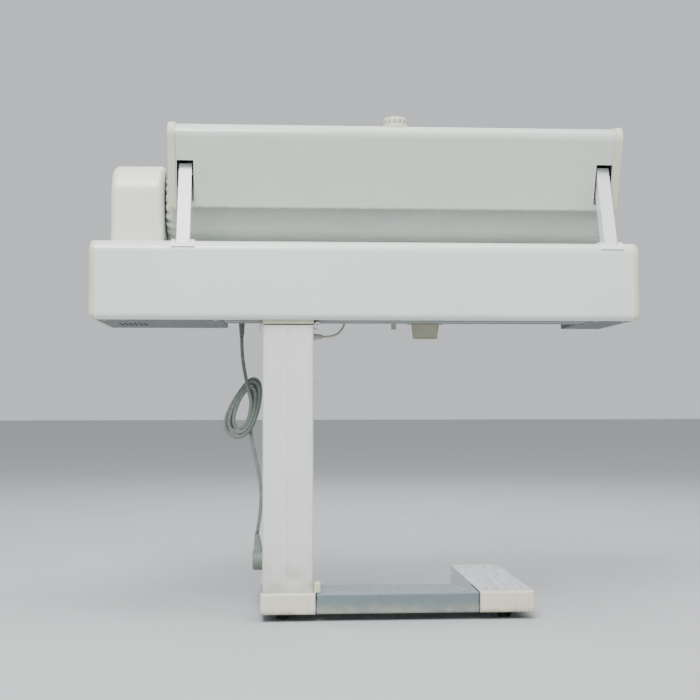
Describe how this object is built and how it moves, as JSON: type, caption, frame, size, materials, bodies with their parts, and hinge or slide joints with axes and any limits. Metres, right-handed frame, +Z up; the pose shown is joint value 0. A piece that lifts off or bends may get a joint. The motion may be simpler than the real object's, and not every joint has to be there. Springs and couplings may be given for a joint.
{
  "type": "folding rotary ironer",
  "caption": "Rotary ironing machine on a folding wheeled stand: a driven cloth-covered roller under a heated plate in a lifting hood, with a foot bar, a temperature knob and a tied mains lead.",
  "frame": {"origin": "on the floor, under the middle of the lower casing", "axes": "+X along the roller towards its free end, -Y the rear of the machine, +Y the user's side, +Z up"},
  "size_m": [0.985, 0.3824, 0.9144],
  "materials": {
    "casing_white": "gloss enamel",
    "hood_white": "gloss enamel",
    "arm_white": "gloss",
    "cream_plastic": "satin",
    "tilt_plate_paint": "satin",
    "aluminium": "brushed anodised",
    "column_paint": "powder coated white",
    "bar_grey": "satin",
    "module_grey": "moulded",
    "pan_steel": "zinc plated",
    "steel": "turned",
    "motor_steel": "matt",
    "gear_nylon": "moulded",
    "guard_grey": "satin",
    "cloth": "woven cotton",
    "caster_black": "satin",
    "foot_rubber": "matt",
    "lead_grey": "satin",
    "pedal_lead": "satin"
  },
  "bodies": {
    "stand": {"column": "column_paint", "column_top_cap": "column_paint", "fold_hinge_pin": "steel", "left_foot": "aluminium", "right_foot": "aluminium", "foot_caps": "cream_plastic", "rubber_feet": "foot_rubber", "rear_crossbeam": "steel", "tread_pivot_block": "cream_plastic", "foot_switch": "guard_grey", "latch_stud": "steel", "pedal_cable_plug": "pedal_lead", "pedal_cable": "pedal_lead"},
    "tread_bar": {"tread_bar": "bar_grey"},
    "left_caster": {"left_caster_body": "caster_black"},
    "left_caster_wheels": {"left_caster_wheels": "caster_black"},
    "right_caster": {"right_caster_body": "caster_black"},
    "right_caster_wheels": {"right_caster_wheels": "caster_black"},
    "tilt_carriage": {"tilt_plate": "tilt_plate_paint", "slide_shoes": "gear_nylon", "tilt_catch": "steel"},
    "ironing_unit": {"chassis_pan": "pan_steel", "box_rear_cover": "casing_white", "box_front_cover": "casing_white", "box_end_cap_left": "cream_plastic", "box_end_cap_right": "cream_plastic", "end_module_left": "module_grey", "end_module_right": "module_grey", "slide_rail": "aluminium", "shaft_bearings": "steel", "arm_collars": "arm_white", "lift_motor": "motor_steel", "drive_housing": "cream_plastic", "drive_motor": "motor_steel", "roller_pillars": "steel", "control_panel": "cream_plastic", "cord_strain_relief": "lead_grey"},
    "lift_arms": {"arm_left": "arm_white", "arm_right": "arm_white", "lift_shaft": "steel"},
    "lift_pinion": {"lift_pinion": "steel"},
    "hood": {"hood_shell": "hood_white", "hood_end_cap_left": "cream_plastic", "hood_end_cap_right": "cream_plastic", "heater_plate": "aluminium", "hood_pivot_pins": "steel", "thermostat": "guard_grey"},
    "temperature_knob": {"temperature_knob": "cream_plastic"},
    "finger_guard": {"finger_guard": "guard_grey"},
    "roller": {"roller_tube": "aluminium", "roller_cloth": "cloth", "roller_shaft": "steel", "roller_gear": "gear_nylon"},
    "motor_pinion": {"motor_pinion": "steel"},
    "power_button": {"power_button": "cream_plastic"},
    "release_handle": {"release_handle": "cream_plastic"},
    "mains_cord": {"mains_cord_upper": "lead_grey", "mains_cord_coil": "lead_grey", "mains_cord_lower": "lead_grey", "mains_plug": "lead_grey"}
  },
  "joints": [
    {"name": "fold", "type": "hinge", "parent": "stand", "child": "tilt_carriage", "pos_m": [-0.09, -0.136, 0.525], "axis": [0, 1, 0], "range_deg": [0, 90], "deforming": ["pedal_cable"]},
    {"name": "unit_slide", "type": "slide", "parent": "tilt_carriage", "child": "ironing_unit", "axis": [-1, 0, 0], "range_m": [0, 0.1226]},
    {"name": "cord_swing", "type": "hinge", "parent": "ironing_unit", "child": "mains_cord", "pos_m": [-0.2286, -0.025, 0.513], "axis": [0, -1, 0], "range_deg": [0, 77], "deforming": ["mains_cord_upper"]},
    {"name": "press", "type": "hinge", "parent": "ironing_unit", "child": "lift_arms", "pos_m": [0.057, -0.145, 0.61], "axis": [-1, 0, 0], "range_deg": [0, 3.92]},
    {"name": "lift_pinion_spin", "type": "hinge", "parent": "ironing_unit", "child": "lift_pinion", "pos_m": [0.042, -0.08485, 0.61], "axis": [-1, 0, 0], "range_deg": [-12, 0]},
    {"name": "hood_tilt", "type": "hinge", "parent": "lift_arms", "child": "hood", "pos_m": [0.057, -0.12195, 0.80592], "axis": [-1, 0, 0], "range_deg": [-1, 0]},
    {"name": "temperature_knob_turn", "type": "hinge", "parent": "hood", "child": "temperature_knob", "pos_m": [0.057, -0.108, 0.9], "axis": [0, 0, 1], "range_deg": [0, 270]},
    {"name": "finger_guard_swing", "type": "hinge", "parent": "hood", "child": "finger_guard", "pos_m": [0.057, 0.025, 0.871], "axis": [-1, 0, 0], "range_deg": [0, 12], "stiffness_Nm_per_rad": 0.06, "springref_deg": -14.32},
    {"name": "roller_spin", "type": "hinge", "parent": "ironing_unit", "child": "roller", "pos_m": [0, 0, 0.768], "axis": [1, 0, 0], "continuous": true},
    {"name": "motor_pinion_spin", "type": "hinge", "parent": "ironing_unit", "child": "motor_pinion", "pos_m": [-0.4, 0.06412, 0.768], "axis": [1, 0, 0], "continuous": true},
    {"name": "power_button_press", "type": "slide", "parent": "ironing_unit", "child": "power_button", "axis": [0, 0, -1], "range_m": [0, 0.003], "stiffness_N_per_m": 400, "springref_m": -0.002},
    {"name": "release_handle_pull", "type": "hinge", "parent": "ironing_unit", "child": "release_handle", "pos_m": [0.1215, -0.03, 0.542], "axis": [1, 0, 0], "range_deg": [0, 35], "stiffness_Nm_per_rad": 0.06, "springref_deg": -8.59},
    {"name": "tread_press", "type": "hinge", "parent": "stand", "child": "tread_bar", "pos_m": [0.053, -0.162, 0.033], "axis": [-1, 0, 0], "range_deg": [0, 3], "stiffness_Nm_per_rad": 6, "springref_deg": -4.58},
    {"name": "left_caster_swivel", "type": "hinge", "parent": "stand", "child": "left_caster", "pos_m": [-0.142, -0.134, 0.04], "axis": [0, 0, 1], "continuous": true},
    {"name": "left_caster_roll", "type": "hinge", "parent": "left_caster", "child": "left_caster_wheels", "pos_m": [-0.151, -0.134, 0.017], "axis": [0, 1, 0], "continuous": true},
    {"name": "right_caster_swivel", "type": "hinge", "parent": "stand", "child": "right_caster", "pos_m": [0.248, -0.134, 0.04], "axis": [0, 0, 1], "continuous": true},
    {"name": "right_caster_roll", "type": "hinge", "parent": "right_caster", "child": "right_caster_wheels", "pos_m": [0.248, -0.143, 0.017], "axis": [1, 0, 0], "continuous": true}
  ],
  "couplings": [
    {"joint": "unit_slide", "follows": "fold", "m_per_rad": 0.077986},
    {"joint": "cord_swing", "follows": "fold", "ratio": 0.85},
    {"joint": "lift_pinion_spin", "follows": "press", "ratio": -3},
    {"joint": "hood_tilt", "follows": "press", "ratio": -0.25},
    {"joint": "motor_pinion_spin", "follows": "roller_spin", "ratio": -3}
  ]
}
